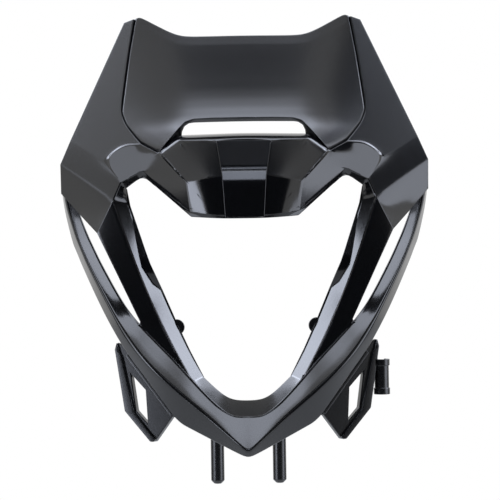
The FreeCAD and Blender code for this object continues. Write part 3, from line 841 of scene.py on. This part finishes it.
# %% The ears' plane and outlines
EAR_SLOPE, EAR_LEAN, EAR_DEPTH = 0.34, 0.05, 9.0
EAR_STEP, EAR_WALL, EAR_RIM = 2.5, 3.0, 2.4
ear_foot = Vector((74.5, 4.0, 2.0))
ear_back = Vector((-EAR_SLOPE, 1.0, -EAR_LEAN)).normalized()
tip_a, tip_b, side_low, foot_out, foot_in = (102.5, 79.5), (104, 74), (96.5, 26), (76.5, 2.5), (73.5, 2.5)
notch, inner_low, inner_mid, inner_top = (59.5, 22), (49, 20), (67, 47), (84, 72)
ear_outline = [tip_a, tip_b, side_low, foot_out, foot_in, notch, inner_low, inner_mid, inner_top]
ear_window = [(92, 55), (80.5, 42.5), (79, 16.5), (88, 26.5)]


def on_ear(x, z, sunk=0.0):
    depth = ear_foot.y + EAR_SLOPE * (x - ear_foot.x) + EAR_LEAN * (z - ear_foot.z)
    return Vector((x, depth, z)) + ear_back * sunk


def moved_outline(outline, distance):
    """A closed outline with every side moved to its right by a distance."""
    moved = []
    for before, here, after in zip(outline[-1:] + outline[:-1], outline, outline[1:] + outline[:1]):
        first = (Vector(here) - Vector(before)).normalized()
        second = (Vector(after) - Vector(here)).normalized()
        left, right = Vector((first.y, -first.x)), Vector((second.y, -second.x))
        middle = (left + right).normalized()
        moved.append(tuple(Vector(here) + middle * (distance / middle.dot(left))))
    return moved


def ring_faces(outline, first_depth, second_depth, inner=None):
    """Walls along an outline from one depth to another, or a flat ring to an inner outline."""
    inner = inner or outline
    panels = []
    for i in range(len(outline)):
        j = (i + 1) % len(outline)
        corners = [on_ear(*outline[i], first_depth), on_ear(*outline[j], first_depth),
                   on_ear(*inner[j], second_depth), on_ear(*inner[i], second_depth)]
        panels.append(("wall", corners))
    return panels


print("ear outline of", len(ear_outline), "points, window of", len(ear_window))


# %% [markdown]
# ## The ears
# Each ear is a closed tray: a front with the window, walls, rims and the pocket behind. A raised bar
# follows its outer and lower edge, and a thin rib crosses it beside the frame. A solidified sheet would
# leave the walls open at the back, so the tray is listed as panels, and the left ear is the right one
# mirrored.

# %% The ears' meshes
def tray_front(outline, window, depth):
    """The flat panels between an ear's outline and its window."""
    a, b, c, d, e, f, g, h, k = outline
    top, inside, low, out = window
    groups = [[top, out, c, b], [out, low, d, c], [inside, h, g, f, e, d, low], [top, b, a, k, h, inside]]
    return [("front", [on_ear(x, z, depth) for x, z in group]) for group in groups]


def tray_panels():
    """A closed tray: front, walls, rims and the pocket behind."""
    pocket = moved_outline(ear_outline, EAR_RIM)
    frame_edge = moved_outline(ear_window, EAR_RIM)
    deep = EAR_STEP + EAR_WALL
    panels = tray_front(ear_outline, ear_window, EAR_STEP)
    panels += ring_faces(ear_outline, EAR_STEP, EAR_DEPTH) + ring_faces(ear_window, EAR_STEP, EAR_DEPTH)
    panels += ring_faces(ear_outline, EAR_DEPTH, EAR_DEPTH, pocket)
    panels += ring_faces(ear_window, EAR_DEPTH, EAR_DEPTH, frame_edge)
    panels += ring_faces(pocket, EAR_DEPTH, deep) + ring_faces(frame_edge, EAR_DEPTH, deep)
    return panels + [("pocket", panel[::-1]) for area, panel in tray_front(pocket, frame_edge, deep)]


def bar_panels(outline, rise):
    """A raised bar as a closed prism, from an outline whose two long sides face each other."""
    high, low = EAR_STEP - rise, EAR_STEP + 1.0
    panels = ring_faces(outline, high, low)
    count = len(outline)
    for i in range(count // 2 - 1):
        group = [outline[i], outline[count - 1 - i], outline[count - 2 - i], outline[i + 1]]
        panels.append(("bar", [on_ear(x, z, high) for x, z in group]))
        panels.append(("bar back", [on_ear(x, z, low) for x, z in reversed(group)]))
    return panels


RIB_RISE = 1.4
bar_inner = [(72.2, 4.4), (75.6, 8), (89, 24.5), (98.5, 68.5), (99.8, 71)]
bar_outline = [tip_a, tip_b, side_low, foot_out, foot_in] + bar_inner
rib_outline = [(93.7, 71.1), (96.5, 69), (60.6, 21.9), (57.8, 24)]
ear_polish = {"front": 0.45, "bar": 0.5, "other": 0.6}
right_ear = tray_panels() + bar_panels(bar_outline, EAR_STEP) + bar_panels(rib_outline, RIB_RISE)
left_ear = [(area, mirrored(panel)) for area, panel in right_ear]
for label, panels in (("right", right_ear), ("left", left_ear)):
    ear = new_piece(f"ear_{label}", panel_mesh(f"ear_{label}", panels, ear_polish))
    rounded(ear, "rounded edges", 0.8, 30)
    ear.modifiers.new("flat panels", "WEIGHTED_NORMAL")
    finish_piece(ear)


# %% [markdown]
# ## Turned shapes
# The pegs and the hose guide are round, so they are lathed: a profile of radius and height is spun round
# an upright axis. A cylinder with extra cuts would give the pegs too, but not the split sleeve of the
# guide, which leaves a gap in the turn. Spinning can turn a mesh inside out, so doubles are merged and
# normals recalculated.

# %% Lathe
def lathe(name, profile, centre, turns=48, gap=0.0):
    """Spins a profile of (radius, height) round an upright axis, in millimetres."""
    points, faces = [], []
    count = turns if gap == 0.0 else turns + 1
    for i in range(count):
        angle = math.pi / 2 + gap / 2 + (2 * math.pi - gap) * i / turns
        reach = Vector((math.cos(angle), math.sin(angle), 0))
        for radius, height in profile:
            points.append(Vector((centre.x, centre.y, height)) * MM + reach * radius * MM)
    size = len(profile)
    for i in range(turns):
        for j in range(size - 1):
            a, b = i * size + j, ((i + 1) % count) * size + j
            faces.append([a, b, b + 1, a + 1])
    mesh = bpy.data.meshes.new(name)
    mesh.from_pydata(points, [], faces)
    tool = bmesh.new()
    tool.from_mesh(mesh)
    bmesh.ops.remove_doubles(tool, verts=tool.verts, dist=0.001 * MM)
    bmesh.ops.recalc_face_normals(tool, faces=tool.faces)
    tool.to_mesh(mesh)
    tool.free()
    set_polish(mesh, [0.3] * len(mesh.polygons))
    return new_piece(name, mesh)


# %% [markdown]
# ## Pegs and their floor
# Two pegs below the chin plug into rubber grommets on the bike. Each has a collar under its floor and a
# chamfered tip, so it is one lathed profile. The floor behind the chin carries both pegs: a flat outline
# with a wall, as a sheet is the plainest thing that does so.

# %% Pegs and floor
PEG_X, PEG_R, PEG_TIP, PEG_SEAT, COLLAR, PEG_CHAMFER, PEG_ROOT = 24.0, 5.2, -30.0, 12.0, 2.0, 2.5, 1.0
peg_profile = [
    (0.0, PEG_SEAT + PEG_ROOT), (PEG_R + COLLAR, PEG_SEAT + PEG_ROOT), (PEG_R + COLLAR, PEG_SEAT - COLLAR),
    (PEG_R, PEG_SEAT - 2 * COLLAR), (PEG_R, PEG_TIP + PEG_CHAMFER), (PEG_R - PEG_CHAMFER, PEG_TIP),
    (0.0, PEG_TIP)]
for label, x in (("right", PEG_X), ("left", -PEG_X)):
    peg = lathe(f"peg_{label}", peg_profile, Vector((x, 0, 0)))
    rounded(peg, "rounded edges", 0.5, 30, turned=True)
    finish_piece(peg)

floor_half = [Vector((x, y, PEG_SEAT + WALL)) for x, y in (
    (0, -43.5), (15.5, -43.5), (23.5, -38.2), (32, -31), (35, -27.5), (35, 6), (31, 9), (0, 9))]
floor_outline = floor_half + mirrored(floor_half[1:-1])
peg_floor = new_piece("peg_floor", panel_mesh("peg_floor", [("floor", floor_outline)], {"other": 0.4}))
moulded_wall(peg_floor, WALL, levels=0, radius=0.5)
finish_piece(peg_floor)

# %% [markdown]
# ## Lamp lugs
# Behind each leg a lug with a round end reaches into the opening and takes a screw of the lamp. A boolean
# could cut the hole, but a ring of faces from the outline to the hole is cleaner: both are walked by the
# same angles, and the outline's far half is moved out by the lug's length.

# %% Lamp lugs
LUG_R, LUG_WALL, LUG_LENGTH, LUG_HOLE, LUG_INSET, LUG_STEPS = 6.2, 4.5, 22.0, 2.1, 5.0, 48
lug_inner = Vector((54.2, -2.3, 91.5))
outline, hole = [], []
for i in range(LUG_STEPS):
    angle = 2 * math.pi * (i + 0.5) / LUG_STEPS
    reach = Vector((math.cos(angle), 0, math.sin(angle)))
    shift = Vector((0.0 if reach.x < 0 else LUG_LENGTH, 0, 0))
    outline.append(lug_inner + shift + reach * LUG_R)
    hole.append(lug_inner + Vector((LUG_INSET, 0, 0)) + reach * LUG_HOLE)
right_lug = [("lug", [outline[i - 1], outline[i], hole[i], hole[i - 1]]) for i in range(LUG_STEPS)]
left_lug = [(area, mirrored(panel)) for area, panel in right_lug]
for label, panels in (("right", right_lug), ("left", left_lug)):
    lug = new_piece(f"lug_{label}", panel_mesh(f"lug_{label}", panels, {"other": 0.5}))
    face_front(lug.data)
    moulded_wall(lug, LUG_WALL, levels=0, radius=0.3, rim=0.6, degrees=40)
    finish_piece(lug)

# %% [markdown]
# ## Hose guide
# Beside one ear sits a split sleeve that a hose is pressed into. It is thicker at its two ends than at
# its waist. A slot could be cut out of a whole tube, but the lathe can stop short of a full turn, which
# gives the slot without a cut. That leaves both ends of the turn open, so they are filled before the edges
# are rounded.

# %% Hose guide
GUIDE_R, GUIDE_BORE, GUIDE_HALF, GUIDE_END, GUIDE_WAIST, GUIDE_GAP = 6.4, 4.5, 13.8, 5.0, 0.7, 4.5
guide_middle = Vector((105.5, 20, 49.6))
low, high = guide_middle.z - GUIDE_HALF, guide_middle.z + GUIDE_HALF
guide_profile = [
    (GUIDE_BORE, low), (GUIDE_R, low), (GUIDE_R, low + GUIDE_END), (GUIDE_R - GUIDE_WAIST, low + GUIDE_END),
    (GUIDE_R - GUIDE_WAIST, high - GUIDE_END), (GUIDE_R, high - GUIDE_END), (GUIDE_R, high),
    (GUIDE_BORE, high), (GUIDE_BORE, low)]
guide = lathe("hose_guide", guide_profile, guide_middle, gap=GUIDE_GAP / GUIDE_BORE)
tool = bmesh.new()
tool.from_mesh(guide.data)
bmesh.ops.holes_fill(tool, edges=tool.edges, sides=20)
bmesh.ops.recalc_face_normals(tool, faces=tool.faces)
tool.to_mesh(guide.data)
tool.free()
rounded(guide, "rounded edges", 0.6, 30, turned=True)
finish_piece(guide)

# %% [markdown]
# ## Surroundings, floor and black cards
# Black gloss plastic shows only what it mirrors, so the studio is built by what each face should mirror.
# The surroundings are white, which also gives the clean background, over a pale floor. Black cards keep
# some faces dark: those behind the camera serve the faces that look straight out, the one on the right
# serves the right wing, and those low at the sides serve the lips under the bars. The camera doesn't see
# the cards.

# %% Surroundings, floor and cards
world = bpy.data.worlds.new("white studio")
bpy.context.scene.world = world
world.use_nodes = True
world.node_tree.nodes["Background"].inputs["Color"].default_value = (1.0, 1.0, 1.0, 1.0)
world.node_tree.nodes["Background"].inputs["Strength"].default_value = 1.0


def plain_material(name, colour, roughness):
    material = bpy.data.materials.new(name)
    material.use_nodes = True
    shader = material.node_tree.nodes["Principled BSDF"]
    shader.inputs["Base Color"].default_value = hex_colour(colour)
    shader.inputs["Roughness"].default_value = roughness
    return material


def stage_card(name, middle, across, up, material):
    """A flat card of the studio, from its middle and two half sides in metres."""
    middle, across, up = Vector(middle), Vector(across), Vector(up)
    corners = [middle - across - up, middle + across - up, middle + across + up, middle - across + up]
    mesh = bpy.data.meshes.new(name)
    mesh.from_pydata(corners, [], [[0, 1, 2, 3]])
    mesh.materials.append(material)
    card = new_piece(name, mesh)
    return card


paper = plain_material("pale_paper", "#a6a6a4", 0.9)
felt = plain_material("black_felt", "#050505", 1.0)
stage_card("studio_floor", (0.0, 0.0, -0.36), (1.4, 0.0, 0.0), (0.0, 1.4, 0.0), paper)
black_cards = (
    ("front_card", (0.0, -1.9, 0.1), (1.9, 0.0, 0.0), (0.0, 0.0, 0.9)),
    ("upper_card", (0.0, -1.5, 1.32), (1.3, 0.0, 0.0), (0.0, 0.0, 0.42)),
    ("right_card", (1.2, -0.45, 0.75), (0.0, 0.35, 0.0), (0.0, 0.0, 0.29)),
    ("left_under_card", (-1.3, 0.33, -0.33), (0.0, 0.45, 0.0), (0.0, 0.0, 0.28)),
    ("right_under_card", (1.3, 0.33, -0.33), (0.0, 0.45, 0.0), (0.0, 0.0, 0.28)))
for name, place, across, up in black_cards:
    stage_card(name, place, across, up, felt).visible_camera = False
print("studio floor and", len(black_cards), "black cards")


# %% [markdown]
# ## Soft boxes
# Soft boxes at the sides and above light the slanted faces. A lamp's power says little about how bright
# it looks in a mirror, which also depends on its size, so each box is given by its radiance and the power
# is worked out. The narrow strip in front draws a light line on the nose block, and the small box on the
# left lights the slanted facet of the nose.

# %% Soft boxes
def soft_box(name, place, aim, width, height, radiance):
    """An area light whose brightness is given as seen in a mirror."""
    light = bpy.data.lights.new(name, "AREA")
    light.shape = "RECTANGLE"
    light.color = hex_colour("#e4ecff")[:3]
    light.size, light.size_y = width, height
    light.energy = radiance * math.pi * width * height
    lamp = bpy.data.objects.new(name, light)
    lamp.location = place
    lamp.rotation_euler = (Vector(aim) - Vector(place)).to_track_quat("-Z", "Y").to_euler()
    bpy.context.scene.collection.objects.link(lamp)


part_middle = (0.0, 0.0, 0.16)
soft_box("top_box", (0.0, -0.51, 1.4), (0.0, -0.51, 0.0), 1.9, 0.82, 4.8)
for hand, label in ((-1, "left"), (1, "right")):
    soft_box(f"{label}_box", (hand * 1.4, 0.3, 0.92), part_middle, 0.8, 0.66, 8.0)
    soft_box(f"{label}_high_box", (hand * 1.13, 0.34, 1.39), part_middle, 1.3, 0.9, 5.0)
soft_box("left_low_box", (-1.3, -0.75, 0.09), (0.0, -0.75, 0.09), 0.9, 0.82, 2.0)
soft_box("right_low_box", (1.3, -0.47, 0.06), (0.0, -0.47, 0.06), 0.94, 0.76, 2.8)
soft_box("front_strip", (0.0, -1.6, 0.77), part_middle, 0.16, 0.7, 5.0)
soft_box("facet_box", (-1.21, -0.93, 0.02), part_middle, 0.27, 0.5, 6.0)
print("soft boxes", [lamp.name for lamp in bpy.data.lights])

# %% [markdown]
# ## The camera
# The photograph was taken from straight in front with a long lens, so depth is hardly foreshortened. The
# camera stands a little to the right of the middle plane and is rolled by less than a degree. Its lens
# is worked out from how much the picture takes in at the object's distance.

# %% Camera
FRAME_HALF_AT_OBJECT, OBJECT_DISTANCE, ROLL_DEGREES = 0.191, 1.4, 0.85
lens_data = bpy.data.cameras.new("camera")
lens_data.sensor_width = 36.0
lens_data.lens = lens_data.sensor_width / 2 * OBJECT_DISTANCE / FRAME_HALF_AT_OBJECT
camera = bpy.data.objects.new("camera", lens_data)
camera.location = (0.0035, -1.42, 0.1505)
camera.rotation_euler = (math.radians(90), math.radians(ROLL_DEGREES), 0.0)
bpy.context.scene.collection.objects.link(camera)
bpy.context.scene.camera = camera
bpy.context.scene.view_settings.view_transform = "Standard"
print("lens", round(lens_data.lens, 1), "mm")
